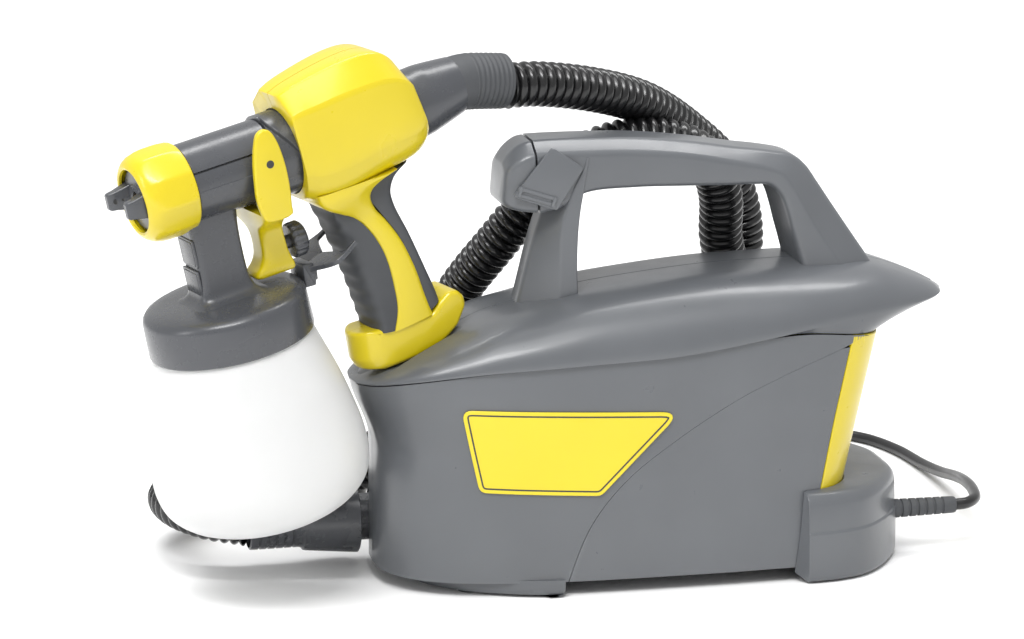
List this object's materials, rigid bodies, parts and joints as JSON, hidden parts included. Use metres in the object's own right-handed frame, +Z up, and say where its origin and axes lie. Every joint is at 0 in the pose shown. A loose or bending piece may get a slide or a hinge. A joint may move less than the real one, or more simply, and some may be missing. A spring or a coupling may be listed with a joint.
{
  "type": "hvlp paint spray gun with turbine unit",
  "caption": "Paint spray gun with cup, docked on a carry-handled air turbine, joined by a corrugated hose, with mains lead.",
  "frame": {"origin": "middle of the footprint of gun and turbine unit, on the surface the unit stands on", "axes": "+Z up, +X from the spray nozzle towards the rear of the turbine unit, +Y to the unit's left side"},
  "size_m": [0.5561, 0.3513, 0.3217],
  "materials": {
    "housing": "moulded blue-grey plastic, satin",
    "dark_plastic": "moulded dark grey plastic, satin",
    "yellow_plastic": "moulded bright yellow plastic, glossy",
    "label": "printed yellow label plate",
    "rubber": "soft dark grey rubber",
    "hose": "glossy black corrugated plastic",
    "lead": "black flexible sheath",
    "cup_plastic": "translucent milky white plastic",
    "steel": "bright steel",
    "brass": "turned brass",
    "white_plastic": "natural white plastic",
    "foam": "open-cell filter foam"
  },
  "bodies": {
    "base": {"front_shell": "housing", "rear_shell": "housing", "rear_band": "yellow_plastic", "top_cover": "housing", "carry_handle": "housing", "hose_clip": "dark_plastic", "base_plate": "dark_plastic", "rear_foot": "housing", "rubber_foot_front_right": "rubber", "rubber_foot_front_left": "rubber", "rubber_foot_rear_right": "rubber", "rubber_foot_rear_left": "rubber", "label_plate_right": "label", "label_plate_left": "label", "air_filter": "foam", "motor_can": "steel", "motor_mount_front": "rubber", "motor_mount_rear": "rubber", "fan_housing": "dark_plastic", "outlet_socket": "dark_plastic", "air_hose": "hose", "hose_connector": "dark_plastic", "strain_relief": "rubber", "mains_lead": "lead", "lead_coil": "lead", "lead_tail": "lead", "mains_plug": "lead", "coil_tie": "lead"},
    "rotor": {"motor_shaft": "steel", "impeller_front": "white_plastic", "impeller_rear": "white_plastic"},
    "flap": {"accessory_flap": "dark_plastic"},
    "filter_door": {"filter_cover": "dark_plastic"},
    "switch": {"power_switch": "lead"},
    "gun": {"spray_head": "dark_plastic", "fluid_tube": "brass", "nozzle_seal": "rubber", "fluid_nozzle": "brass", "cup_lid": "dark_plastic", "cup_gasket": "rubber", "suction_tube": "white_plastic", "grip_fork": "dark_plastic", "gun_shell_right": "yellow_plastic", "gun_shell_left": "yellow_plastic", "shell_screw_1": "steel", "shell_screw_2": "steel", "front_grip": "rubber", "rear_grip": "rubber", "gun_air_duct": "dark_plastic", "hose_adaptor": "dark_plastic", "hose_cuff": "rubber", "trigger_pin": "steel"},
    "trigger": {"trigger": "yellow_plastic"},
    "flow_knob": {"flow_knob": "dark_plastic"},
    "needle": {"needle": "steel", "needle_spring": "steel"},
    "air_cap": {"air_cap": "dark_plastic"},
    "cap_nut": {"air_cap_nut": "yellow_plastic"},
    "collar": {"twist_collar": "dark_plastic"},
    "cup": {"paint_cup": "cup_plastic"}
  },
  "joints": [
    {"name": "gun_lift", "type": "slide", "parent": "base", "child": "gun", "axis": [-0.2091, -0.056, 0.9763], "range_m": [0, 0.12]},
    {"name": "trigger_pull", "type": "hinge", "parent": "gun", "child": "trigger", "pos_m": [-0.17102, -0.02165, 0.26233], "axis": [0.2588, -0.9659, 0], "range_deg": [0, 11], "stiffness_Nm_per_rad": 0.8, "springref_deg": -20.05},
    {"name": "needle_travel", "type": "slide", "parent": "gun", "child": "needle", "axis": [0.943, 0.2527, 0.2164], "range_m": [0, 0.0024]},
    {"name": "flow_knob_turn", "type": "hinge", "parent": "trigger", "child": "flow_knob", "pos_m": [-0.14611, -0.01498, 0.21069], "axis": [0.943, 0.2527, 0.2164], "range_deg": [0, 300]},
    {"name": "air_cap_turn", "type": "hinge", "parent": "gun", "child": "air_cap", "pos_m": [-0.23431, -0.03861, 0.24371], "axis": [0.943, 0.2527, 0.2164], "range_deg": [0, 90]},
    {"name": "cap_nut_turn", "type": "hinge", "parent": "gun", "child": "cap_nut", "pos_m": [-0.22488, -0.03609, 0.24587], "axis": [0.943, 0.2527, 0.2164], "continuous": true},
    {"name": "collar_turn", "type": "hinge", "parent": "gun", "child": "collar", "pos_m": [-0.15415, -0.01713, 0.26211], "axis": [0.943, 0.2527, 0.2164], "range_deg": [0, 45]},
    {"name": "cup_turn", "type": "hinge", "parent": "gun", "child": "cup", "pos_m": [-0.17136, -0.02175, 0.10452], "axis": [-0.2091, -0.056, 0.9763], "continuous": true},
    {"name": "fan_spin", "type": "hinge", "parent": "base", "child": "rotor", "pos_m": [0.072, 0.01, 0.066], "axis": [1, 0, 0], "continuous": true},
    {"name": "switch_rock", "type": "hinge", "parent": "base", "child": "switch", "pos_m": [0.1984, 0.01, 0.1], "axis": [0, 1, 0], "range_deg": [0, 8]},
    {"name": "flap_open", "type": "hinge", "parent": "base", "child": "flap", "pos_m": [0.0165, -0.0156, 0.2515], "axis": [-0.8253, 0, 0.5647], "range_deg": [0, 100]},
    {"name": "filter_pull", "type": "slide", "parent": "base", "child": "filter_door", "axis": [0, 1, 0], "range_m": [0, 0.012]}
  ],
  "couplings": [
    {"joint": "needle_travel", "follows": "trigger_pull", "m_per_rad": 0.012}
  ]
}
